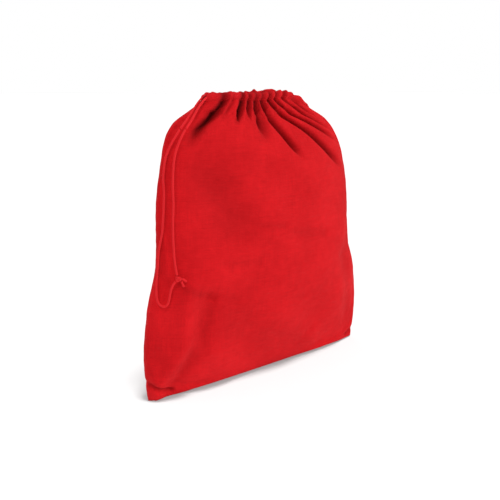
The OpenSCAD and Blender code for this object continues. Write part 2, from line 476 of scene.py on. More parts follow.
@dataclass(frozen=True)
class MouthEdge:
    """How the drawn mouth's edge rises and sinks along each half, in metres."""

    right_sink: float = 0.0105
    right_from: float = 0.55
    left_sink: float = 0.0035
    left_to: float = -0.62
    lobe_rise: float = 0.0035
    lobe_width: float = 0.16
    front_lobe: Tuple[float, float] = (0.42, 0.5)
    back_lobe: Tuple[float, float] = (0.5, 1.3)
    roll: Wave = Wave(0.0008, 6.1)
    knob_rise: float = 0.0030
    knob_at: float = 0.19
    knob_width: float = 0.035

    def rise(self, side: Side, s: np.ndarray) -> np.ndarray:
        """How far the mouth's edge rises, or sinks below 0, at places s.

        Args:
            side: Which half.
            s: Places along the half, from -1 at the left seam to 1 at the right one.

        Returns:
            The rise at each place.
        """
        ends = (-self.right_sink * ease(s, self.right_from, 1.0)
                - self.left_sink * (1 - ease(s, -1.0, self.left_to)))
        lobe_at, share = self.front_lobe if side is Side.FRONT else self.back_lobe
        lobe = self.lobe_rise * bell(s, lobe_at, self.lobe_width)
        edge = ends + share * lobe + self.roll.at(s, side.value)
        if side is Side.BACK:
            edge = edge + self.knob_rise * bell(s, self.knob_at, self.knob_width)
        return edge


@dataclass(frozen=True)
class SeamPull:
    """How far a side seam draws the cloth in: small puckers, and a nip above its corner."""

    pucker_depth: float = 0.0006
    pucker_pitch: float = 0.017
    pucker_sway: float = 3
    sway_length: float = 0.031
    grows: Tuple[float, float] = (0.03, 0.06)
    fades: Tuple[float, float] = (0.33, 0.36)
    left_nip: float = 0.003
    left_nip_z: float = 0.026
    right_nip: float = 0.002
    right_nip_z: float = 0.014
    nip_height: float = 0.004

    def dip(self, s: np.ndarray, z: np.ndarray) -> np.ndarray:
        """How far the nearer side seam draws in beside places s and z.

        Args:
            s: Places along the half, from -1 at the left seam to 1 at the right one.
            z: Their heights.

        Returns:
            The distance at each place, toward the sack's middle.
        """
        puckers = 0.5 + 0.5 * np.sin(2 * math.pi * z / self.pucker_pitch
                                     + self.pucker_sway * np.sin(z / self.sway_length))
        body = ease(z, *self.grows) * (1 - ease(z, *self.fades))
        nip = np.where(s < 0, self.left_nip, self.right_nip)
        height = np.where(s < 0, self.left_nip_z, self.right_nip_z)
        return self.pucker_depth * puckers * body + nip * bell(z, height, self.nip_height)


@dataclass(frozen=True)
class Settling:
    """How the sewn cloth settles: the cotton's feel, and what pushes and holds it."""

    feel: Tuple[Tuple[str, float], ...] = (
        ("quality", 5), ("mass", 0.12), ("tension_stiffness", 30),
        ("compression_stiffness", 20), ("shear_stiffness", 5), ("bending_stiffness", 0.08),
        ("tension_damping", 10), ("compression_damping", 10), ("shear_damping", 8),
        ("bending_damping", 0.6), ("air_damping", 4), ("use_pressure", True),
        ("uniform_pressure_force", 0.25), ("pin_stiffness", 1.0),
    )
    gravity_share: float = 0.2
    frames: int = 24
    most_move: float = 0.003
    slack: float = 0.025
    light_hold: float = 0.05
    seam_hold: float = 0.8
    seam_columns: int = 2
    mouth_hold: Tuple[float, float] = (0.965, 0.995)
    foot_hold: Tuple[float, float] = (0.0005, 0.004)
    corner_share: float = 0.98
    sewn_gap: float = 0.4


@dataclass
class SackCloth:
    """The two cotton panels, gathered at the mouth and filled out below."""

    outline: Outline = field(default_factory=Outline)
    flat_width: float = 0.400
    flat_height: float = 0.425
    stitch_z: float = 0.384
    columns: int = 103
    lower_rows: int = 60
    upper_rows: int = 40
    upper_from: float = 0.315
    foot_turn: float = 0.003
    foot_share: float = 0.5
    outline_heights: int = 200
    gathers: int = 13
    crimp_depth: float = 0.0014
    crimp_over: float = 0.026
    crimp_size: float = 0.75
    size_wave: Wave = Wave(0.25, 7.3)
    wide_drift: Wave = Wave(0.34, 4.1)
    narrow_drift: Wave = Wave(0.16, 9.7)
    cloth_t: float = 0.0008
    swell: Swell = Swell()
    mouth_edge: MouthEdge = MouthEdge()
    mouth_edge_from: float = 0.330
    seam_pull: SeamPull = SeamPull()
    seam_pull_over: float = 0.04
    seam_share: float = 0.06
    settling: Settling = Settling()
    casing_h: float = 0.011
    ring_pull: float = 0.45
    ring_pull_to: float = 0.9
    left_lean: float = 0.004
    left_lean_to: float = -0.75
    right_lean: float = 0.011
    right_lean_from: float = 0.72
    right_drop: float = 0.35
    shallower: float = 0.5
    shallower_over: float = 0.018
    # Painted shade: a fold this deep, in millimetres, gets the full painted shade; creases
    # narrower than narrow_crease get it in full, wider ones only the wide_shade share of it, as
    # a broad painted shadow.
    full_shade: float = 14.0
    narrow_crease: float = 7.0
    wide_shade: float = 0.42
    hem_tuck: float = 0.0018
    least_stand: float = 0.0012
    shaped: Dict[Side, np.ndarray] = field(default_factory=dict)
    edges: Dict[Side, np.ndarray] = field(default_factory=dict)
    front_folds: Sequence[Fold] = (
        Fold(((0.322, -0.81), (0.355, -0.73), (0.369, -0.69), (0.395, -0.67)),
             16, 5, 10.5, 0.35, 2.0),
        Fold(((0.352, -0.34), (0.368, -0.345), (0.395, -0.38)), 14, 4.0, 5.0, 0.55, 2.0),
        Fold(((0.355, -0.20), (0.373, -0.22), (0.395, -0.26)), 11, 3.0, 5),
        Fold(((0.325, -0.03), (0.364, -0.08), (0.395, -0.15)), 12, 3.8, 7.5),
        Fold(((0.302, 0.31), (0.333, 0.20), (0.364, 0.07), (0.395, -0.05)), 12, 3.8, 5.5, 0.72),
        Fold(((0.283, 0.86), (0.319, 0.64), (0.344, 0.48), (0.363, 0.30), (0.395, 0.05)),
             13, 3.6, 7, 0.75),
        Fold(((0.315, 0.97), (0.346, 0.69), (0.365, 0.48), (0.395, 0.17)), 11, 3.6, 6.5, 0.5),
        Fold(((0.335, 0.93), (0.365, 0.68), (0.395, 0.36)), 9, 3.0, 5),
        Fold(((0.352, 0.86), (0.372, 0.76), (0.395, 0.56)), 7, 3.0, 5),
        Fold(((0.356, -0.54), (0.372, -0.53), (0.395, -0.53)), 5, 2.4, 4),
    )
    front_creases: Sequence[Crease] = (
        Crease(((-0.196, 0.027), (-0.186, 0.022), (-0.179, 0.017), (-0.160, 0.009)), 6, 3.0),
        Crease(((-0.196, 0.010), (-0.180, 0.006)), -3, 8),
        Crease(((-0.142, 0.145), (-0.155, 0.075), (-0.178, 0.026)), -7, 14),
        Crease(((-0.112, 0.130), (-0.132, 0.068), (-0.158, 0.022)), 6, 14),
        Crease(((-0.080, 0.120), (-0.045, 0.060), (0.060, 0.040)), 3.5, 26),
        Crease(((-0.152, 0.156), (-0.125, 0.140), (-0.105, 0.131)), 2.6, 5.5),
        Crease(((-0.112, 0.134), (-0.070, 0.122)), 1.4, 7.5),
        Crease(((-0.105, 0.285), (-0.075, 0.235)), 7, 32),
        Crease(((-0.130, 0.215), (-0.060, 0.205)), 2.2, 12),
        Crease(((-0.045, 0.225), (0.010, 0.217)), 1.6, 5),
        Crease(((0.030, 0.205), (0.095, 0.196)), 1.6, 6),
        Crease(((-0.090, 0.178), (-0.035, 0.172)), 1.5, 6),
        Crease(((-0.020, 0.118), (0.050, 0.108)), 1.4, 7),
        Crease(((0.150, 0.150), (0.165, 0.090), (0.168, 0.045)), 4, 16),
        Crease(((0.172, 0.009), (0.192, 0.015)), 4, 3.5),
    )
    back_folds: Sequence[Fold] = (
        Fold(((0.300, -0.80), (0.350, -0.66), (0.395, -0.5)), 10, 4, 8),
        Fold(((0.320, -0.45), (0.360, -0.36), (0.395, -0.3)), 9, 3, 7),
        Fold(((0.290, -0.12), (0.350, -0.08), (0.395, -0.05)), 9, 3, 8),
        Fold(((0.325, 0.20), (0.360, 0.17), (0.395, 0.14)), 8, 3, 6),
        Fold(((0.295, 0.56), (0.350, 0.42), (0.395, 0.34)), 10, 3.5, 8),
        Fold(((0.320, 0.88), (0.360, 0.72), (0.395, 0.62)), 10, 4, 7),
    )

    def places(self, detail: int = 2) -> np.ndarray:
        """The columns' places along a half, from seam to seam."""
        return np.linspace(-1, 1, (self.columns - 1) * detail + 1)

    def flat_rows(self, detail: int = 2) -> np.ndarray:
        """The rows' heights on the flat panel, closer together near the mouth.

        Args:
            detail: How many steps each of the simulation's steps is split into.

        Returns:
            The heights, from the bottom seam to the stitches.
        """
        split = self.flat_height * self.upper_from / self.stitch_z
        lower = np.linspace(0, split, self.lower_rows, endpoint=False)
        rows = np.concatenate([lower, np.linspace(split, self.flat_height, self.upper_rows)])
        fine = np.linspace(0, len(rows) - 1, (len(rows) - 1) * detail + 1)
        return np.interp(fine, np.arange(len(rows)), rows)

    def form(self, side: Side, detail: int = 2) -> Tuple[np.ndarray, np.ndarray]:
        """One half's smooth wall, with no folds.

        Args:
            side: Which half.
            detail: How many steps each of the simulation's steps is split into.

        Returns:
            Places, and half the length of the half's line at each place.
        """
        s, v = self.places(detail), self.flat_rows(detail)
        heights = np.linspace(0, self.outline.height, self.outline_heights)
        table = self.outline.table(side, s, heights)
        runs = np.linalg.norm(np.diff(table, axis=1), axis=2).sum(axis=1)
        foot = np.abs(table[0, :, 1] - float(self.outline.seam_y(0.0)))
        turn = np.minimum(self.foot_turn, foot * self.foot_share)
        path = v[:, None] - foot[None, :]
        bow = np.sqrt(path**2 + turn[None, :] ** 2)
        scale = self.stitch_z / (self.flat_height - foot)
        z = (path + bow) / 2 * scale[None, :]
        edge = self.mouth_edge.rise(side, s)[None, :]
        z = z + edge * ease(z, self.mouth_edge_from, self.stitch_z)
        inset = (bow - path) / 2
        x, y = np.empty_like(z), np.empty_like(z)
        for j in range(len(s)):
            x[:, j] = np.interp(z[:, j], heights, table[:, j, 0])
            y[:, j] = np.interp(z[:, j], heights, table[:, j, 1])
        on_floor = 1 - np.clip(v[:, None] / np.maximum(foot, TINY)[None, :], 0, 1)
        x += on_floor * (s * float(self.outline.width(0.0)) - table[0, :, 0])[None, :]
        seam = self.outline.seam_y(z)
        y = seam + side.value * np.maximum(0.0, np.abs(y - seam) - inset)
        half_run = np.interp(z, heights, runs) / 2
        return np.stack([x, y, z], axis=2), half_run

    def fold_depth(self, side: Side, s: np.ndarray, z: np.ndarray,
                   half_run: np.ndarray) -> np.ndarray:
        """How deep all the folds and gathers of a half lie, in metres.

        Args:
            side: Which half.
            s: Places along the half, from -1 at the left seam to 1 at the right one.
            z: Their heights.
            half_run: Half the length of the half's line at each place.

        Returns:
            The depth at each place.
        """
        dip = np.zeros_like(z)
        for fold in self.folds(side):
            dip = np.maximum(dip, fold.depth * MM * fold.share(s, z, half_run))
        near = ease(z, self.stitch_z - self.shallower_over, self.stitch_z)
        dip = dip * (1 - self.shallower * near)
        crimped = ease(z, self.stitch_z - self.crimp_over, self.stitch_z)
        return dip + self.crimp_depth * crimped * self.crimp(side, s)

    def folds(self, side: Side) -> Sequence[Fold]:
        """One half's folds."""
        return self.front_folds if side is Side.FRONT else self.back_folds

    def fold_shade(self, side: Side, s: np.ndarray, z: np.ndarray,
                   half_run: np.ndarray) -> np.ndarray:
        """How much painted shade a half's cloth gets in its folds, 0 to 1, by how deep in them
        it lies.

        Args:
            side: Which half.
            s: Places along the half, from -1 at the left seam to 1 at the right one.
            z: Their heights.
            half_run: Half the length of the half's line at each place.

        Returns:
            The share at each place.
        """
        shade = np.zeros_like(z)
        for fold in self.folds(side):
            full = min(1.0, fold.depth / self.full_shade)
            shade = np.maximum(shade, full * fold.share(s, z, half_run))
        return shade

    def edge_point(self, side: Side, s: np.ndarray, up: np.ndarray) -> np.ndarray:
        """Points on the middle of the casing.

        Args:
            side: Which half.
            s: Places along the half.
            up: Shares of the casing's height.

        Returns:
            The points, as rows of s, columns of up and 3.
        """
        if side not in self.edges:
            self.edges[side] = np.stack([self.walls(side)[-1], self.form(side)[0][-1]])
        folded, smooth = (
            np.stack([np.interp(s, self.places(), row[:, k]) for k in range(3)], axis=1)
            for row in self.edges[side]
        )
        pull = (self.ring_pull * ease(up, 0.0, self.ring_pull_to))[None, :, None]
        centre = folded[:, None] * (1 - pull) + smooth[:, None] * pull
        right = ease(s, self.right_lean_from, 1.0)[:, None]
        left = (1 - ease(s, -1.0, self.left_lean_to))[:, None]
        centre[..., 0] += up[None, :] * (self.left_lean * left - self.right_lean * right)
        centre[..., 2] += self.casing_h * up[None, :] * (1 - self.right_drop * right)
        return centre

    def crimp(self, side: Side, s: np.ndarray) -> np.ndarray:
        """How far each place lies into a valley between the small gathers, 0 to 1.

        Args:
            side: Which half.
            s: Places along the half, from -1 at the left seam to 1 at the right one.

        Returns:
            The share at each place.
        """
        turns = self.gathers * (s + 1) / 2
        turns = turns + self.wide_drift.at(s, side.value) + self.narrow_drift.at(s)
        size = self.crimp_size + self.size_wave.at(s, 2 * side.value)
        return size * (0.5 - 0.5 * np.cos(2 * math.pi * turns))

    def walls(self, side: Side, detail: int = 2) -> np.ndarray:
        """One half's wall with its folds, before the cloth settles.

        Args:
            side: Which half.
            detail: How many steps each of the simulation's steps is split into.

        Returns:
            The wall's points, as rows by columns by 3.
        """
        points, half_run = self.form(side, detail)
        normal = -side.value * grid_normals(points)
        x, z = points[:, :, 0], points[:, :, 2]
        s = np.broadcast_to(self.places(detail)[None, :], x.shape)
        dip = self.fold_depth(side, s, z, half_run) + self.swell.dip(side, x, z)
        if side is Side.FRONT:
            dip = dip + sum(crease.dip(x, z) for crease in self.front_creases)
        edge = ease(1 - np.abs(s), 0.0, self.seam_share)
        walls = points - normal * (dip * edge)[:, :, None]
        seam = self.outline.seam_y(walls[:, :, 2])
        stand = np.maximum(side.value * (walls[:, :, 1] - seam), self.least_stand * edge)
        walls[:, :, 1] = seam + side.value * stand
        drawn = self.seam_pull.dip(s, z) * np.exp(-(1 - np.abs(s)) / self.seam_pull_over)
        walls[:, :, 0] -= np.sign(s) * drawn
        return walls

    def flat(self, detail: int = 2) -> np.ndarray:
        """Each grid point's place on the flat panel, also its UV, in metres.

        Args:
            detail: How many steps each of the simulation's steps is split into.

        Returns:
            The places, as rows by columns by 2.
        """
        u = self.places(detail) * self.flat_width / 2
        v = self.flat_rows(detail)
        return np.stack(np.meshgrid(u, v), axis=2)

    def build(self, finish: bpy.types.Material) -> Dict[Side, bpy.types.Object]:
        """Makes the two panels.

        Args:
            finish: The cotton that they are made of.

        Returns:
            Each half's panel.
        """
        self.shaped = {side: self.walls(side) for side in Side}
        moves = self.settle({side: self.walls(side, 1) for side in Side})
        for side, move in moves.items():
            self.shaped[side] = self.settled(self.shaped[side], move)
        panels = {}
        for side in Side:
            wall = self.shaped[side].copy()
            wall[-1, :, 2] += self.hem_tuck
            piece = grid_piece(f"{side.word}_panel_cloth", wall, self.flat(),
                               flip=side is Side.BACK, shade=self.panel_shade(side))
            thicken(piece, self.cloth_t)
            dress(piece, finish)
            hang(piece, side)
            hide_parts(f"{side.word}_panel")
            panels[side] = piece
        return panels

    def panel_shade(self, side: Side) -> np.ndarray:
        """How much painted shade each of a panel's points gets, by how deep in a fold or crease
        it lies.

        Args:
            side: Which half.

        Returns:
            The share at each of the panel's points.
        """
        points, half_run = self.form(side)
        s = np.broadcast_to(self.places()[None, :], half_run.shape)
        shade = self.fold_shade(side, s, points[:, :, 2], half_run)
        if side is Side.FRONT:
            for crease in self.front_creases:
                dip = crease.dip(points[:, :, 0], points[:, :, 2]) / MM
                share = 1.0 if crease.width < self.narrow_crease else self.wide_shade
                shade = np.maximum(shade, share * dip / self.full_shade)
        return shade

    def settle(self, walls: Dict[Side, np.ndarray]) -> Dict[Side, np.ndarray]:
        """Lets the sewn cloth settle under the filling's push and its own weight.

        Args:
            walls: Each half's wall before it settles, at the simulation's own steps.

        Returns:
            How far each half's points move.
        """
        sewn, places = self.sew(walls)
        settle = sewn.modifiers.new("settle", "CLOTH")
        cloth = settle.settings
        for name, value in self.settling.feel:
            setattr(cloth, name, value)
        cloth.vertex_group_mass = "held"
        cloth.rest_shape_key = sewn.data.shape_keys.key_blocks["cut"]
        cloth.effector_weights.gravity = self.settling.gravity_share
        settle.point_cache.frame_end = self.settling.frames
        scene = bpy.context.scene
        for step in range(1, self.settling.frames + 1):
            scene.frame_set(step)
        ready = sewn.evaluated_get(bpy.context.evaluated_depsgraph_get())
        settled = np.empty(len(ready.data.vertices) * 3)
        ready.data.vertices.foreach_get("co", settled)
        settled = settled.reshape(-1, 3)
        scene.frame_set(1)
        bpy.data.objects.remove(sewn)
        return {side: self.capped(settled[places[side]] - walls[side]) for side in Side}

    def capped(self, move: np.ndarray) -> np.ndarray:
        """Keeps each point within the most that it may move."""
        size = np.linalg.norm(move, axis=2, keepdims=True)
        return move * np.minimum(1.0, self.settling.most_move / np.maximum(size, TINY))

    def settled(self, wall: np.ndarray, move: np.ndarray) -> np.ndarray:
        """Adds the settling moves to a finer wall, and keeps it off the floor.

        Args:
            wall: The wall at its full detail.
            move: The moves at the simulation's own steps.

        Returns:
            The wall after it has settled.
        """
        for axis in (1, 0):
            steps = np.arange(move.shape[axis])
            want = np.linspace(0, steps[-1], wall.shape[axis])
            move = np.apply_along_axis(lambda line: np.interp(want, steps, line), axis, move)
        moved = wall + move
        moved[:, :, 2] = np.maximum(moved[:, :, 2], 0.0)
        return moved

    def sew(self, walls: Dict[Side, np.ndarray]
            ) -> Tuple[bpy.types.Object, Dict[Side, np.ndarray]]:
        """Joins the two walls along the sides and the bottom, ready to settle.

        Args:
            walls: Each half's wall.

        Returns:
            The joined mesh with its cut lengths in a shape key, and where each half's
            grid points are among its points.
        """
        bm = bmesh.new()
        for side in Side:
            half = grid_piece("half", walls[side], self.flat(1), flip=side is Side.BACK)
            bm.from_mesh(half.data)
            bpy.data.objects.remove(half)
        top = self.stitch_z - MM
        rim = [v for v in bm.verts if v.is_boundary]
        corner = self.settling.corner_share * max(abs(v.co.x) for v in rim if v.co.z > top)
        joined = [v for v in rim if v.co.z < top]
        joined += [v for v in rim if v.co.z >= top and abs(v.co.x) > corner]
        bmesh.ops.remove_doubles(bm, verts=joined, dist=self.settling.sewn_gap * MM)
        mesh = bpy.data.meshes.new("sewn")
        bm.to_mesh(mesh)
        bm.free()
        tree = KDTree(len(mesh.vertices))
        for k, vertex in enumerate(mesh.vertices):
            tree.insert(vertex.co, k)
        tree.balance()
        places = {
            side: np.array([[tree.find(p)[1] for p in row] for row in walls[side]])
            for side in Side
        }
        sewn = bpy.data.objects.new("sewn", mesh)
        bpy.context.scene.collection.objects.link(sewn)
        sewn.shape_key_add(name="Basis")
        cut = sewn.shape_key_add(name="cut")
        spots = np.zeros((len(mesh.vertices), 3))
        for side in Side:
            spots[places[side]] = self.cut_lengths(walls[side])
        cut.data.foreach_set("co", spots.ravel())
        held = sewn.vertex_groups.new(name="held")
        weights = np.zeros(len(mesh.vertices))
        for side in Side:
            weights[places[side]] = np.maximum(weights[places[side]], self.hold(walls[side]))
        for k, weight in enumerate(weights):
            held.add([k], float(weight), "REPLACE")
        return sewn, places

    def cut_lengths(self, wall: np.ndarray) -> np.ndarray:
        """Lays a wall flat, at the lengths that its cloth was cut to.

        The rows near the mouth keep only a little more cloth than the folds already
        hold, so that they don't crumple.

        Args:
            wall: The wall at the simulation's own steps.

        Returns:
            Each point's place on the flat cloth.
        """
        flat = self.flat(1)
        run = np.linalg.norm(np.diff(wall, axis=1), axis=2).sum(axis=1)
        spare = np.minimum(self.flat_width, run * (1 + self.settling.slack))
        width = np.maximum(spare, run)[:, None]
        return np.stack([flat[:, :, 0] / self.flat_width * width, np.zeros_like(flat[:, :, 0]),
                         flat[:, :, 1]], axis=2)

    def hold(self, wall: np.ndarray) -> np.ndarray:
        """How firmly each point is held: the mouth and the foot fully, the rest lightly.

        Args:
            wall: The wall at the simulation's own steps.

        Returns:
            The share at each point, 0 to 1.
        """
        z = wall[:, :, 2]
        hold = np.full(z.shape, self.settling.light_hold)
        hold[:, :self.settling.seam_columns] = self.settling.seam_hold
        hold[:, -self.settling.seam_columns:] = self.settling.seam_hold
        rows = self.flat_rows(1)[:, None] / self.flat_height
        hold = np.maximum(hold, ease(rows, *self.settling.mouth_hold))
        hold = np.maximum(hold, 1 - ease(z, *self.settling.foot_hold))
        hold[-1] = 1.0
        return hold


# ---------------------------------------------------------------- hem, seams and thread


@dataclass
class MouthHem:
    """The hemmed casing round the mouth, one length on each half, and its stitching."""

    cloth: SackCloth
    half_t: float = 0.0030
    thin_at_stitches: float = 0.22
    fills_out: Tuple[float, float] = (0.10, 0.42)
    thin_in_valleys: float = 0.25
    valley_in: float = 0.0010
    scallop: float = 0.0013
    # Share of the panels' painted fold shade that the casing gets.
    hem_shade: float = 0.7
    wall: float = 0.0007
    slit_share: float = -0.915
    slant_steps: int = 401
    least_square: float = 0.6
    columns: int = 221
    around: int = 18
    stitch_rise: float = 0.0021
    stitch_pitch: float = 0.0032
    stitch_steps: int = 9
    stitch_top: float = 1.6
    stitch_end: float = 0.01
    thread_d: float = 0.0007
    thread_proud: float = 0.00015
    thread_sides: int = 8

    def outward(self, side: Side, s: np.ndarray) -> np.ndarray:
        """The level direction out of the sack at places s of the mouth.

        Args:
            side: Which half.
            s: Places along the half, from -1 at the left seam to 1 at the right one.

        Returns:
            A unit vector for each place.
        """
        line = self.cloth.outline.section(side, self.cloth.stitch_z, s).T
        way = unit(np.gradient(line, axis=0))
        return side.value * np.stack([-way[:, 1], way[:, 0], 0 * way[:, 0]], axis=1)

    def slant(self, side: Side, s: np.ndarray) -> np.ndarray:
        """How much thicker, straight outward, the casing is where it crosses a fold.

        Args:
            side: Which half.
            s: Places along the half, from -1 at the left seam to 1 at the right one.

        Returns:
            The factor at each place, 1 where the casing runs square.
        """
        places = np.linspace(-1, 1, self.slant_steps)
        line = self.cloth.edge_point(side, places, np.array([0.5]))[:, 0]
        way, out = unit(np.gradient(line, axis=0)), self.outward(side, places)
        square = np.abs(way[:, 0] * out[:, 1] - way[:, 1] * out[:, 0])
        return np.interp(s, places, 1 / np.maximum(square, self.least_square))

    def point(self, side: Side, s: np.ndarray, turn: np.ndarray,
              proud: float = 0.0) -> np.ndarray:
        """Places on the casing.

        Args:
            side: Which half.
            s: Places along the half.
            turn: The angle round the casing's section, from its lower edge.
            proud: How far outside the cloth.

        Returns:
            The places, as rows of s, columns of turn and 3.
        """
        crimp = self.cloth.crimp(side, s)[:, None]
        up = (1 - np.cos(turn)) / 2
        thin = self.thin_at_stitches
        full = thin + (1 - thin) * ease(up, *self.fills_out)
        thick = self.half_t * full[None, :] * (1 - self.thin_in_valleys * crimp)
        thick = thick * self.slant(side, s)[:, None] + proud
        points = self.cloth.edge_point(side, s, up)
        push = thick * np.sin(turn)[None, :] - self.valley_in * crimp * up[None, :]
        points = points + self.outward(side, s)[:, None, :] * push[..., None]
        points[..., 2] -= self.scallop * crimp * up[None, :] ** 2
        return points

    def middle(self, side: Side, s: np.ndarray) -> np.ndarray:
        """The middle of the casing's channel at places s."""
        walls = self.point(side, s, np.array([math.pi / 2, 3 * math.pi / 2]))
        return walls.mean(axis=1)

    def casing(self, side: Side, finish: bpy.types.Material) -> bpy.types.Object:
        """Makes one half's casing.

        Args:
            side: Which half.
            finish: The cotton that it is made of.

        Returns:
            The casing.
        """
        s = np.linspace(self.slit_share, 1.0, self.columns)
        turn = np.linspace(0, 2 * math.pi, self.around + 1)
        points = self.point(side, s, turn)
        along = np.broadcast_to((s * self.cloth.flat_width / 2)[:, None], points.shape[:2])
        up = np.broadcast_to((self.cloth.casing_h * turn / math.pi)[None, :], points.shape[:2])
        uv = np.stack([along, self.cloth.flat_height + up], axis=2)
        z = np.full(len(s), self.cloth.stitch_z)
        # Painted shade: the casing is darkened where the panel's folds run up into it.
        shade = self.hem_shade * self.cloth.fold_shade(side, s, z, self.mouth_half_run(side))
        piece = grid_piece(f"{side.word}_casing_hem", points, uv, tube=True, capped=False,
                           flip=side is Side.FRONT,
                           shade=np.broadcast_to(shade[:, None], points.shape[:2]))
        thicken(piece, self.wall, smooth=True)
        dress(piece, finish)
        hang(piece, side)
        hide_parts(f"{side.word}_casing")
        return piece

    def mouth_half_run(self, side: Side) -> float:
        """Half the length of one half's line round the mouth."""
        line = self.cloth.outline.section(side, self.cloth.stitch_z, self.cloth.places()).T
        return line_length(line) / 2

    def stitching(self, side: Side, finish: bpy.types.Material) -> bpy.types.Object:
        """Makes one half's row of stitches, which dip into the cloth between them.

        Args:
            side: Which half.
            finish: The thread.

        Returns:
            The row of stitches.
        """
        steps, gap = self.stitch_steps, self.stitch_end
        stitches = round(2 * self.mouth_half_run(side) / self.stitch_pitch)
        s = np.linspace(self.slit_share + gap, 1 - gap, stitches * steps + 1)
        at = math.acos(1 - 2 * self.stitch_rise / self.cloth.casing_h)
        out = self.point(side, s, np.array([at]), proud=self.thread_proud)[:, 0]
        beat = np.abs(np.sin(math.pi * np.arange(len(s)) / steps))
        sink = self.thread_d * (1 - np.minimum(1, beat * self.stitch_top))
        line = out - self.outward(side, s) * sink[:, None]
        piece = plain_tube(f"{side.word}_hem_stitches", line, self.thread_d / 2,
                           self.thread_sides)
        dress(piece, finish)
        hang(piece, side)
        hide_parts(f"{side.word}_casing_stitching")
        return piece


def plain_tube(name: str, line: np.ndarray, radius: float, sides: int) -> bpy.types.Object:
    """Sweeps a plain round thread along a line of points.

    Args:
        name: The piece's name.
        line: The points that it follows.
        radius: Its radius.
        sides: How many flat sides its section has.

    Returns:
        The thread.
    """
    across, up = turning_frames(line)
    turn = np.linspace(0, 2 * math.pi, sides + 1)[None, :, None]
    points = line[:, None] + radius * (
        np.cos(turn) * across[:, None] + np.sin(turn) * up[:, None])
    uv = np.stack(np.meshgrid(turn.ravel() * radius, run_along(line)), axis=2)
    return grid_piece(name, points, uv, tube=True)


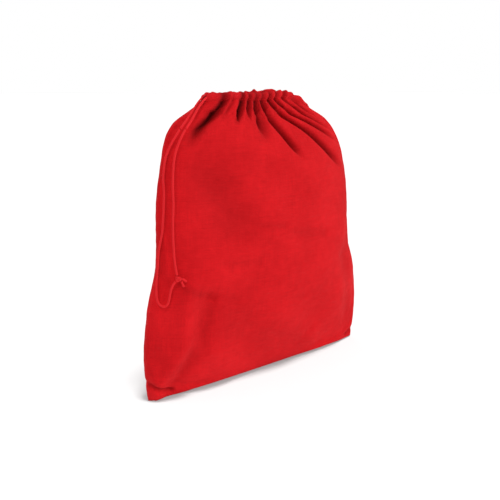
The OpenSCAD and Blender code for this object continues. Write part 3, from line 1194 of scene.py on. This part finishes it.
@dataclass
class Seams:
    """The sewn side and bottom seams, turned inside, with their overlocked edges."""

    cloth: SackCloth
    allowance: float = 0.008
    thickness: float = 0.0012
    inset: float = 0.0016
    columns: int = 6
    wave_size: float = 0.0004
    wave_length: float = 0.006
    reach: int = 8
    end_rows: int = 12
    end_columns: int = 10
    every: int = 2
    overlock_pitch: float = 0.0035
    overlock_in: float = 0.0045
    overlock_share: float = 0.7
    thread_d: float = 0.0005
    thread_sides: int = 6
    bar_at: float = 0.9525
    bar_height: float = 0.005
    bar_width: float = 0.0016
    bar_turns: int = 22
    bar_proud: float = 0.0004
    bar_thread_share: float = 0.6

    def side_line(self, column: int, inner: int) -> Tuple[np.ndarray, np.ndarray]:
        """A side seam's line and the way into the sack from it, row by row.

        Args:
            column: The grid's column on the seam.
            inner: A column inside it, which tells the way in.

        Returns:
            The line's points, and a unit vector for each.
        """
        both = [self.cloth.shaped[side] for side in Side]
        seam = sum(wall[:, column] for wall in both) / 2
        inside = sum(wall[:, inner] for wall in both) / 2
        return seam, unit(inside - seam)

    def strip(self, name: str, seam: np.ndarray, way: np.ndarray, node: str,
              finish: bpy.types.Material, thread: bpy.types.Material) -> List[bpy.types.Object]:
        """Makes a seam allowance that stands in from its seam, and its edge thread.

        Args:
            name: The strip's name.
            seam: The seam's line.
            way: The way into the sack at each of its points.
            node: The plain solid that it stands for.
            finish: The cotton.
            thread: The thread.

        Returns:
            The strip and its overlock thread.
        """
        run = run_along(seam)
        depth = np.linspace(self.inset, self.inset + self.allowance, self.columns)
        wave = self.wave_size * np.sin(run / self.wave_length)
        points = seam[:, None] + way[:, None] * depth[None, :, None]
        points[:, :, 1] += wave[:, None] * np.linspace(0, 1, self.columns)[None, :]
        uv = np.stack(np.meshgrid(depth, run), axis=2)
        strip = grid_piece(name, points, uv)
        thicken(strip, self.thickness)
        strip.modifiers["thickness"].offset = 0.0
        dress(strip, finish)
        turns = round(run[-1] / self.overlock_pitch) * 2
        at = np.linspace(0, run[-1], turns + 1)
        edge = np.stack([np.interp(at, run, seam[:, k]) for k in range(3)], axis=1)
        inward = np.stack([np.interp(at, run, way[:, k]) for k in range(3)], axis=1)
        reach = np.where(np.arange(turns + 1) % 2 == 0, self.allowance,
                         self.allowance - self.overlock_in) + self.inset
        loops = edge + unit(inward) * reach[:, None]
        face = np.where(np.arange(turns + 1) % 4 < 2, 1, -1)
        loops[:, 1] += face * self.thickness * self.overlock_share
        overlock = plain_tube(f"{name}_overlock", loops, self.thread_d / 2,
                              self.thread_sides)
        dress(overlock, thread)
        for piece in (strip, overlock):
            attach(piece, "sack")
        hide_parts(node)
        return [strip, overlock]

    def build(self, finish: bpy.types.Material,
              thread: bpy.types.Material) -> List[bpy.types.Object]:
        """Makes the three seam allowances and the bar at the foot of the slit.

        Args:
            finish: The cotton.
            thread: The thread.

        Returns:
            The pieces.
        """
        pieces = []
        rows = slice(self.end_rows, -self.end_rows, self.every)
        columns = slice(self.end_columns, -self.end_columns, self.every)
        for word, column, inner in (("left", 0, self.reach), ("right", -1, -1 - self.reach)):
            seam, way = self.side_line(column, inner)
            pieces += self.strip(f"{word}_seam_allowance", seam[rows], way[rows],
                                 f"{word}_side_seam", finish, thread)
        foot = self.cloth.shaped[Side.FRONT][0, columns].copy()
        foot[:, 2] = self.cloth.cloth_t
        up = np.zeros_like(foot)
        up[:, 2] = 1.0
        pieces += self.strip("bottom_seam_allowance", foot, up, "bottom_seam", finish, thread)
        pieces.append(self.bartack(thread))
        return pieces

    def bartack(self, thread: bpy.types.Material) -> bpy.types.Object:
        """Makes the dense bar of stitches that closes the foot of the cord's slit.

        Args:
            thread: The thread.

        Returns:
            The bar.
        """
        seam, way = self.side_line(0, self.reach)
        z = self.bar_at * self.cloth.outline.height
        foot = np.array([np.interp(z, seam[:, 2], seam[:, k]) for k in range(3)])
        out = -unit(np.array([np.interp(z, seam[:, 2], way[:, k]) for k in range(3)]))
        along = unit(seam[-1] - foot)
        across = unit(np.cross(out, along))
        k = np.arange(self.bar_turns + 1)
        rise = k / self.bar_turns * self.bar_height
        swing = np.where(k % 2 == 0, 0.5, -0.5) * self.bar_width
        line = (foot + out * self.bar_proud + along * rise[:, None]
                + across * swing[:, None])
        piece = plain_tube("slit_bar_stitches", line, self.thread_d * self.bar_thread_share,
                           self.thread_sides)
        dress(piece, thread)
        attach(piece, "sack")
        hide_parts("slit_bartack")
        return piece


# ---------------------------------------------------------------- the drawstring


@dataclass(frozen=True)
class Rope:
    """A twisted cotton cord."""

    radius: float = 0.0015
    plies: int = 3
    pitch: float = 0.0085
    groove: float = 0.24
    ply_round: float = 0.7
    sides: int = 18
    step: float = 0.0009
    cut_share: float = 0.45
    cut_length: float = 0.0009
    seal_share: float = 0.12
    seal_at: float = 0.0016
    seal_length: float = 0.001

    def tube(self, name: str, line: np.ndarray, cut_end: bool = False) -> bpy.types.Object:
        """Sweeps the cord along a line of points.

        Args:
            name: The piece's name.
            line: The points that it follows.
            cut_end: Whether its far end is cut and sealed, and so draws in.

        Returns:
            The cord, a closed tube.
        """
        across, up = turning_frames(line)
        run = run_along(line)
        turn = np.linspace(0, 2 * math.pi, self.sides + 1)
        lay = turn[None, :] - 2 * math.pi * run[:, None] / self.pitch
        lobe = np.abs(np.cos(lay * self.plies / 2)) ** self.ply_round
        radius = self.radius * (1 - self.groove * (1 - lobe))
        if cut_end:
            left = run[-1] - run
            cut = self.cut_share + (1 - self.cut_share) * ease(left, 0, self.cut_length)
            seal = self.seal_share * bell(left, self.seal_at, self.seal_length)
            radius = radius * (cut + seal)[:, None]
        points = line[:, None] + radius[..., None] * (
            np.cos(turn)[None, :, None] * across[:, None]
            + np.sin(turn)[None, :, None] * up[:, None])
        uv = np.stack(np.meshgrid(turn * self.radius, run), axis=2)
        return grid_piece(name, points, uv, tube=True)


@dataclass
class Drawstring:
    """The cord: its two runs in the casing, and the knotted loop that hangs outside."""

    hem: MouthHem
    finish: bpy.types.Material
    rope: Rope = field(default_factory=Rope)
    run_from: float = -0.90
    run_to: float = 0.97
    run_points: int = 110
    front_shoulder: Sequence[Point] = (
        (-75, 14, 390), (-80, 12, 388), (-86, 11, 385), (-96, 8, 377), (-107, 3, 367),
        (-116, -1, 358), (-125, -4, 350),
    )
    back_shoulder: Sequence[Point] = (
        (-76, 25, 390), (-81, 21, 389), (-87, 17, 386), (-95, 14, 380), (-109, 7, 369),
        (-122, 2, 358), (-131, -1, 350),
    )
    front_strand: Sequence[Point] = (
        (-126, -4, 349), (-132, -6, 342), (-140, -8, 330), (-147, -11, 315),
        (-151, -14, 300), (-154, -17, 280), (-155, -19, 260), (-157, -20, 240),
        (-158, -21, 220), (-158, -22, 200), (-158, -24, 185), (-157, -26, 172),
    )
    back_strand: Sequence[Point] = (
        (-132, -1, 349), (-139, -2, 341), (-149, -3, 328), (-156, -4, 313),
        (-161, -7, 293), (-163, -11, 273), (-165, -12, 253), (-168, -12, 226),
        (-172, -9, 203), (-174, -8, 182), (-175, -8, 172),
    )
    loop_end: Sequence[Point] = (
        (-175, -8, 171), (-177, -9, 160), (-179, -12, 149), (-180, -15, 141),
        (-178, -18, 135), (-174, -21, 133), (-170, -23, 136), (-168, -24, 143),
        (-166, -24, 151), (-164, -25, 158), (-160, -26, 164),
    )
    front_tail: Sequence[Point] = ((-152.5, -28.5, 164), (-151, -29, 160), (-150, -30, 156))
    back_tail: Sequence[Point] = ((-151.5, -28.5, 167), (-148.5, -29.5, 165), (-146, -30, 162))
    knot_at: Point = (-156, -27, 167)
    knot_size: float = 0.00098
    knot_depth: float = 1.25
    knot_turn_deg: float = -35
    knot_tilt_deg: float = 24
    knot_points: int = 90

    def metres(self, route: Sequence[Point]) -> np.ndarray:
        """A route's smooth line, in metres."""
        return smooth_route([tuple(k * MM for k in point) for point in route], self.rope.step)

    def run_line(self, side: Side) -> np.ndarray:
        """The line of the cord inside one half's casing, from the right seam to the slit."""
        s = np.linspace(self.run_to, self.run_from, self.run_points)
        return smooth_route([tuple(p) for p in self.hem.middle(side, s)], self.rope.step)

    def cord(self, name: str, line: np.ndarray, node: str) -> bpy.types.Object:
        """Makes one declared length of the cord.

        Args:
            name: The piece's name.
            line: The points that it follows.
            node: The plain solid that it stands for.

        Returns:
            The cord's piece.
        """
        piece = self.rope.tube(name, line)
        dress(piece, self.finish)
        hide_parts(node)
        return piece

    def knot(self) -> bpy.types.Object:
        """Makes the overhand knot that joins the two ends.

        Returns:
            The knot.
        """
        t = np.linspace(0, 2 * math.pi, self.knot_points, endpoint=False)
        size = self.knot_size
        line = np.stack([size * (np.sin(t) + 2 * np.sin(2 * t)),
                         size * self.knot_depth * -np.sin(3 * t),
                         size * (np.cos(t) - 2 * np.cos(2 * t))], axis=1)
        turned = (Matrix.Rotation(math.radians(self.knot_turn_deg), 3, "Z")
                  @ Matrix.Rotation(math.radians(self.knot_tilt_deg), 3, "Y"))
        line = line @ np.array(turned).T + np.array(self.knot_at) * MM
        piece = self.rope.tube("cord_overhand_knot", np.vstack([line, line[:2]]))
        dress(piece, self.finish)
        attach(piece, "cord_end")
        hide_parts("cord_knot")
        return piece

    def tail(self, side: Side) -> bpy.types.Object:
        """Makes one of the two short ends past the knot.

        Args:
            side: The half that its end of the cord comes from.

        Returns:
            The tail.
        """
        route = self.front_tail if side is Side.FRONT else self.back_tail
        piece = self.rope.tube(f"{side.word}_cord_tail", self.metres(route), cut_end=True)
        dress(piece, self.finish)
        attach(piece, "cord_end")
        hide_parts(f"cord_{side.word}_tail")
        return piece

    def strand(self, side: Side) -> bpy.types.Object:
        """Makes one of the two strands of the hanging loop, which draw up as it shortens.

        Args:
            side: The half that it comes from.

        Returns:
            The strand.
        """
        route = self.front_strand if side is Side.FRONT else self.back_strand
        piece = self.cord(f"{side.word}_cord_strand", self.metres(route),
                          f"cord_{side.word}_strand")
        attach(piece, "cord_hang")
        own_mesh(piece)
        return piece

    def build(self) -> List[bpy.types.Object]:
        """Makes the whole cord, from inside the casing to its ends.

        Returns:
            The pieces.
        """
        pieces = []
        for side in Side:
            run = self.cord(f"{side.word}_cord_in_casing", self.run_line(side),
                            f"cord_{side.word}_run")
            hang(run, side)
            route = self.front_shoulder if side is Side.FRONT else self.back_shoulder
            shoulder = self.cord(f"{side.word}_cord_shoulder", self.metres(route),
                                 f"cord_{side.word}_shoulder")
            hang(shoulder, side)
            pieces += [run, shoulder, self.strand(side)]
        ends = [self.knot(), self.tail(Side.FRONT), self.tail(Side.BACK)]
        loop = self.cord("cord_loop", self.metres(self.loop_end), "cord_loop_end")
        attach(loop, "cord_end")
        return pieces + [loop] + ends


# ---------------------------------------------------------------- finishes


Socket = bpy.types.NodeSocket


class Board:
    """A node tree, with short ways to add nodes to it and join them."""

    def __init__(self, tree: bpy.types.NodeTree) -> None:
        """Takes the tree to work on."""
        self.tree = tree

    def add(self, kind: str, inputs: Optional[Dict[object, object]] = None,
            **settings: object) -> bpy.types.Node:
        """Adds a node.

        Args:
            kind: The node's type.
            inputs: Each input's value, or the socket that feeds it.
            settings: The node's own settings.

        Returns:
            The node.
        """
        node = self.tree.nodes.new(kind)
        for name, value in settings.items():
            setattr(node, name, value)
        for name, value in (inputs or {}).items():
            if isinstance(value, bpy.types.NodeSocket):
                self.tree.links.new(value, node.inputs[name])
            else:
                node.inputs[name].default_value = value
        return node

    def math(self, operation: str, first: object, second: object = 0.0,
             third: object = 0.0) -> Socket:
        """Adds a Math node and returns its value."""
        return self.add("ShaderNodeMath", {0: first, 1: second, 2: third},
                        operation=operation).outputs[0]

    def noise(self, place: Socket, scale: float, detail: float = 2.0) -> Socket:
        """Adds a noise and returns its value."""
        return self.add("ShaderNodeTexNoise",
                        {"Vector": place, "Scale": scale, "Detail": detail}).outputs["Fac"]

    def stretched(self, place: Socket, scale: Point) -> Socket:
        """Scales a place by a different amount each way."""
        return self.add("ShaderNodeMapping", {"Vector": place, "Scale": scale}).outputs[0]

    def colour_between(self, share: Socket, low: Sequence[float],
                       high: Sequence[float]) -> Socket:
        """Mixes two colours by a share."""
        return self.add("ShaderNodeMix", {0: share, 6: (*low, 1.0), 7: (*high, 1.0)},
                        data_type="RGBA").outputs[2]

    def rescaled(self, value: Socket, low: float, high: float) -> Socket:
        """Maps a value from 0..1 to low..high."""
        return self.add("ShaderNodeMapRange", {0: value, 3: low, 4: high}).outputs[0]


def new_group(name: str, inputs: Sequence[Tuple[str, str, float]],
              outputs: Sequence[str]) -> Tuple[bpy.types.NodeTree, Board, bpy.types.Node]:
    """Starts a node group with named sockets.

    Args:
        name: The group's name.
        inputs: Each input's name, socket type and value.
        outputs: The names of the values that it puts out.

    Returns:
        The group, a board on it, and its input node.
    """
    tree = bpy.data.node_groups.new(name, "ShaderNodeTree")
    for label, kind, value in inputs:
        socket = tree.interface.new_socket(label, in_out="INPUT", socket_type=kind)
        if kind == "NodeSocketFloat":
            socket.default_value = value
    for label in outputs:
        tree.interface.new_socket(label, in_out="OUTPUT", socket_type="NodeSocketFloat")
    board = Board(tree)
    return tree, board, board.add("NodeGroupInput")


# How much finer than the weave each yarn's slubs are, across it and along it.
WARP_SLUBS: Point = (0.55, 0.012, 1)
WEFT_SLUBS: Point = (0.009, 0.5, 1)
# The slubs' sum is stretched and moved to lie about 0, and part of it lifts the yarn.
SLUB_STRETCH, SLUB_SHIFT, SLUB_LIFT = 1.4, -0.9, 0.6
# The dye's wide and fine patches, and the cloth's wide and fine rumples: how many there
# are in a metre, how detailed they are, and their share of the whole.
WIDE_PATCHES, FINE_PATCHES = (13.0, 3.0, 0.7), (90.0, 3.0, 0.3)
WIDE_RUMPLES, FINE_RUMPLES = (22.0, 4.0, 0.75), (75.0, 3.0, 0.25)
# The rumples are turned a little off the yarns, and drawn out along the sack.
RUMPLE_TURN: Point = (0, 0, 0.2)
RUMPLE_DRAW: Point = (1.0, 2.3, 1.0)


def plain_weave_group() -> bpy.types.NodeTree:
    """Makes the group for a plain weave: its height, and how its yarns vary.

    Returns:
        The group.
    """
    tree, board, given = new_group(
        "plain_weave",
        [("Place", "NodeSocketVector", 0), ("Yarns per metre", "NodeSocketFloat", 2400)],
        ["Height", "Yarn"])
    grid = board.add("ShaderNodeVectorMath", {0: given.outputs[0], "Scale": given.outputs[1]},
                     operation="SCALE").outputs[0]
    split = board.add("ShaderNodeSeparateXYZ", {0: grid})
    warp = board.math("COSINE", board.math("MULTIPLY", split.outputs[0], math.pi))
    weft = board.math("COSINE", board.math("MULTIPLY", split.outputs[1], math.pi))
    over = board.math("MULTIPLY_ADD", board.math("MULTIPLY", warp, weft), 0.5, 0.5)
    under = board.math("SUBTRACT", 1.0, over)
    top = board.math("MAXIMUM", board.math("MULTIPLY", board.math("ABSOLUTE", warp), over),
                     board.math("MULTIPLY", board.math("ABSOLUTE", weft), under))
    warp_slub = board.noise(board.stretched(grid, WARP_SLUBS), 1.0)
    weft_slub = board.noise(board.stretched(grid, WEFT_SLUBS), 1.0)
    slub = board.math("MULTIPLY_ADD", board.math("ADD", warp_slub, weft_slub),
                      SLUB_STRETCH, SLUB_SHIFT)
    done = board.add("NodeGroupOutput")
    board.tree.links.new(board.math("MULTIPLY_ADD", slub, SLUB_LIFT, top),
                         done.inputs["Height"])
    board.tree.links.new(slub, done.inputs["Yarn"])
    return tree


def two_noises(board: Board, place: Socket, wide: Point, fine: Point) -> Socket:
    """Adds a wide noise to a fine one.

    Args:
        board: Where the nodes go.
        place: The place that they are read at.
        wide: The wide noise's scale, detail and share.
        fine: The fine noise's scale, detail and share.

    Returns:
        Their sum.
    """
    low = board.noise(place, *wide[:2])
    high = board.noise(place, *fine[:2])
    return board.math("MULTIPLY_ADD", low, wide[2], board.math("MULTIPLY", high, fine[2]))


def soft_mottle_group() -> bpy.types.NodeTree:
    """Makes the group for the soft, uneven take-up of dye and the cloth's small rumples.

    Returns:
        The group.
    """
    tree, board, given = new_group(
        "soft_mottle", [("Place", "NodeSocketVector", 0)], ["Patches", "Rumples"])
    patches = two_noises(board, given.outputs[0], WIDE_PATCHES, FINE_PATCHES)
    drawn = board.add("ShaderNodeMapping", {"Vector": given.outputs[0],
                                            "Rotation": RUMPLE_TURN,
                                            "Scale": RUMPLE_DRAW}).outputs[0]
    rumples = two_noises(board, drawn, WIDE_RUMPLES, FINE_RUMPLES)
    done = board.add("NodeGroupOutput")
    board.tree.links.new(patches, done.inputs["Patches"])
    board.tree.links.new(rumples, done.inputs["Rumples"])
    return tree


def shared_group(name: str, make: Callable[[], bpy.types.NodeTree]) -> bpy.types.NodeTree:
    """Finds a node group by name, or makes it the first time."""
    return bpy.data.node_groups.get(name) or make()


@dataclass(frozen=True)
class CottonFinish:
    """Dyed plain-woven cotton, darkened by painted shade in its folds and creases."""

    name: str
    deep: Tuple[float, float, float]
    bright: Tuple[float, float, float]
    # Painted shade: the dark red that the colour is mixed toward deep in folds and creases.
    painted_shade_colour: Tuple[float, float, float] = (0.11, 0.0, 0.0005)
    yarns_per_metre: float = 2300.0
    slub: float = 0.30
    rumple: float = 0.6
    rumple_height: float = 0.005
    weave: float = 0.45
    weave_height: float = 0.0002
    roughness: Tuple[float, float] = (0.95, 0.78)
    specular: float = 0.12
    sheen: float = 0.06
    sheen_roughness: float = 0.45
    sheen_tint: Tuple[float, float, float, float] = (1.0, 0.12, 0.12, 1.0)

    def make(self) -> bpy.types.Material:
        """Makes the material.

        Returns:
            The material.
        """
        material, board, shader, uv = new_finish(self.name)
        weave = board.add("ShaderNodeGroup", {}, node_tree=shared_group(
            "plain_weave", plain_weave_group))
        board.tree.links.new(uv, weave.inputs["Place"])
        weave.inputs["Yarns per metre"].default_value = self.yarns_per_metre
        mottle = board.add("ShaderNodeGroup", {}, node_tree=shared_group(
            "soft_mottle", soft_mottle_group))
        board.tree.links.new(uv, mottle.inputs["Place"])
        share = board.math("MULTIPLY_ADD", weave.outputs["Yarn"], self.slub,
                           mottle.outputs["Patches"])
        colour = board.colour_between(share, self.deep, self.bright)
        # Painted shade: the fold attribute mixes the cloth's colour toward its dark
        # painted-shade red.
        fold = board.add("ShaderNodeAttribute", {}, attribute_name="fold").outputs["Fac"]
        shaded = board.add("ShaderNodeMix", {0: fold, 6: colour, 7: (*self.painted_shade_colour, 1.0)},
                           data_type="RGBA").outputs[2]
        board.tree.links.new(shaded, shader.inputs["Base Color"])
        board.tree.links.new(board.rescaled(mottle.outputs["Patches"], *self.roughness),
                             shader.inputs["Roughness"])
        rumples = board.add("ShaderNodeBump", {
            "Strength": self.rumple, "Distance": self.rumple_height,
            "Height": mottle.outputs["Rumples"]})
        bump = board.add("ShaderNodeBump", {
            "Strength": self.weave, "Distance": self.weave_height,
            "Height": weave.outputs["Height"], "Normal": rumples.outputs[0]})
        board.tree.links.new(bump.outputs[0], shader.inputs["Normal"])
        shader.inputs["Specular IOR Level"].default_value = self.specular
        shader.inputs["Sheen Weight"].default_value = self.sheen
        shader.inputs["Sheen Roughness"].default_value = self.sheen_roughness
        shader.inputs["Sheen Tint"].default_value = self.sheen_tint
        return material


@dataclass(frozen=True)
class SpunFinish:
    """Spun cotton yarn, as in the cord and the sewing thread."""

    name: str
    deep: Tuple[float, float, float]
    bright: Tuple[float, float, float]
    fibre: float = 0.0006
    fibre_slant: float = 1.6
    fuzz_stretch: Point = (1.0, 0.35, 1.0)
    fuzz_scale: float = 2600.0
    wave_height: float = 0.25
    wave_colour: float = 0.12
    bump: float = 0.5
    bump_height: float = 0.00025
    roughness: Tuple[float, float] = (0.7, 0.92)
    specular: float = 0.15
    sheen: float = 0.12
    sheen_tint: Tuple[float, float, float, float] = (1.0, 0.15, 0.15, 1.0)

    def make(self) -> bpy.types.Material:
        """Makes the material.

        Returns:
            The material.
        """
        material, board, shader, uv = new_finish(self.name)
        split = board.add("ShaderNodeSeparateXYZ", {0: uv})
        slant = board.math("MULTIPLY_ADD", split.outputs[0], self.fibre_slant,
                           split.outputs[1])
        wave = board.math("SINE", board.math("MULTIPLY", slant, 2 * math.pi / self.fibre))
        fuzz = board.noise(board.stretched(uv, self.fuzz_stretch), self.fuzz_scale, 3.0)
        height = board.math("MULTIPLY_ADD", wave, self.wave_height, fuzz)
        share = board.math("MULTIPLY_ADD", wave, self.wave_colour, fuzz)
        colour = board.colour_between(share, self.deep, self.bright)
        board.tree.links.new(colour, shader.inputs["Base Color"])
        board.tree.links.new(board.rescaled(fuzz, *self.roughness), shader.inputs["Roughness"])
        bump = board.add("ShaderNodeBump", {"Strength": self.bump, "Distance": self.bump_height,
                                            "Height": height})
        board.tree.links.new(bump.outputs[0], shader.inputs["Normal"])
        shader.inputs["Specular IOR Level"].default_value = self.specular
        shader.inputs["Sheen Weight"].default_value = self.sheen
        shader.inputs["Sheen Tint"].default_value = self.sheen_tint
        return material


def new_finish(name: str) -> Tuple[bpy.types.Material, Board, bpy.types.Node, Socket]:
    """Starts a material.

    Args:
        name: The material's name.

    Returns:
        The material, a board on its nodes, its shader and its UV place.
    """
    material = bpy.data.materials.new(name)
    material.use_nodes = True
    board = Board(material.node_tree)
    shader = material.node_tree.nodes["Principled BSDF"]
    return material, board, shader, board.add("ShaderNodeTexCoord").outputs["UV"]


# ---------------------------------------------------------------- studio


WHITE = (1.0, 1.0, 1.0, 1.0)


@dataclass
class Studio:
    """A pale floor, soft light, and the camera."""

    camera_at: Point = (-0.5627, -0.6936, 0.3993)
    turn_deg: float = 38.0
    tilt_deg: float = 14.08
    lens_mm: float = 46.5
    sensor_mm: float = 36.0
    fill: float = 0.25
    floor_half: float = 40.0
    floor_shade: float = 0.20
    floor_glow: float = 0.28
    wash: Tuple[Point, float, float] = ((0.02, -0.17, 1.0), 9.2, 13.0)
    lamps: Sequence[Tuple[str, Point, float, float]] = (
        ("key", (-0.75, -0.75, 1.15), 0.90, 22.0),
        ("side", (0.90, -0.88, 0.35), 1.74, 40.0),
        ("top", (-0.15, 0.30, 1.00), 1.5, 50.0),
    )

    def build(self) -> None:
        """Sets up the floor, the lights and the camera."""
        scene = bpy.context.scene
        camera_data = bpy.data.cameras.new("camera")
        camera_data.lens = self.lens_mm
        camera_data.sensor_width = self.sensor_mm
        camera_data.clip_start = 0.01
        camera = bpy.data.objects.new("camera", camera_data)
        camera.location = self.camera_at
        camera.rotation_euler = (math.radians(90 - self.tilt_deg), 0.0,
                                 -math.radians(self.turn_deg))
        scene.collection.objects.link(camera)
        scene.camera = camera
        world = bpy.data.worlds.new("world")
        world.use_nodes = True
        board = Board(world.node_tree)
        seen = board.add("ShaderNodeLightPath").outputs["Is Camera Ray"]
        background = world.node_tree.nodes["Background"]
        background.inputs["Color"].default_value = WHITE
        board.tree.links.new(board.rescaled(seen, self.fill, 1.0), background.inputs["Strength"])
        scene.world = world
        scene.view_settings.view_transform = "Standard"
        for name, way, strength, spread in self.lamps:
            self.add_sun(name, way, strength, spread)
        self.add_floor()

    def add_sun(self, name: str, way: Point, strength: float,
                spread_deg: float) -> bpy.types.Object:
        """Adds one far, soft light that shines from a direction.

        Args:
            name: The light's name.
            way: Where it shines from.
            strength: How strong it is.
            spread_deg: How wide it looks, so how soft its shadows are.

        Returns:
            The light.
        """
        data = bpy.data.lights.new(name, "SUN")
        data.energy = strength
        data.angle = math.radians(spread_deg)
        light = bpy.data.objects.new(name, data)
        light.rotation_euler = (-Vector(way)).to_track_quat("-Z", "Y").to_euler()
        bpy.context.scene.collection.objects.link(light)
        return light

    def add_floor(self) -> None:
        """Adds the pale floor, which glows a little so that shadows on it stay soft."""
        bm = bmesh.new()
        bmesh.ops.create_grid(bm, x_segments=1, y_segments=1, size=self.floor_half)
        mesh = bpy.data.meshes.new("floor")
        bm.to_mesh(mesh)
        bm.free()
        floor = bpy.data.objects.new("floor", mesh)
        bpy.context.scene.collection.objects.link(floor)
        material = bpy.data.materials.new("floor")
        material.use_nodes = True
        shader = material.node_tree.nodes["Principled BSDF"]
        shader.inputs["Base Color"].default_value = (*(self.floor_shade,) * 3, 1.0)
        shader.inputs["Roughness"].default_value = 1.0
        shader.inputs["Specular IOR Level"].default_value = 0.0
        shader.inputs["Emission Color"].default_value = WHITE
        shader.inputs["Emission Strength"].default_value = self.floor_glow
        mesh.materials.append(material)
        lit = bpy.data.collections.new("floor_only")
        lit.objects.link(floor)
        self.add_sun("wash", *self.wash).light_linking.receiver_collection = lit


def main() -> None:
    """Builds the sack's pieces in order and reports each one."""
    logging.basicConfig(level=logging.INFO, format="%(name)s: %(message)s")
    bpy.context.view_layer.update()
    Studio().build()
    cotton = CottonFinish("red_cotton", (0.34, 0.0006, 0.0025), (0.76, 0.008, 0.013)).make()
    hem_cotton = CottonFinish("hem_cotton", (0.40, 0.0012, 0.0032), (0.74, 0.010, 0.015)).make()
    seam_cotton = CottonFinish("seam_cotton", (0.46, 0.002, 0.004), (0.62, 0.005, 0.009)).make()
    cord_yarn = SpunFinish("cord_cotton", (0.62, 0.008, 0.012), (0.86, 0.020, 0.028)).make()
    thread = SpunFinish("sewing_thread", (0.44, 0.002, 0.004), (0.62, 0.006, 0.010),
                        0.0003).make()
    cloth = SackCloth()
    hem = MouthHem(cloth)
    for piece in Drawstring(hem, cord_yarn).build():
        report(piece)
    panels = cloth.build(cotton)
    for side, panel in panels.items():
        casing = hem.casing(side, hem_cotton)
        stitches = hem.stitching(side, thread)
        for piece in (panel, casing, stitches):
            report(piece)
    for piece in Seams(cloth).build(seam_cotton, thread):
        report(piece)


if __name__ == "__main__":
    main()
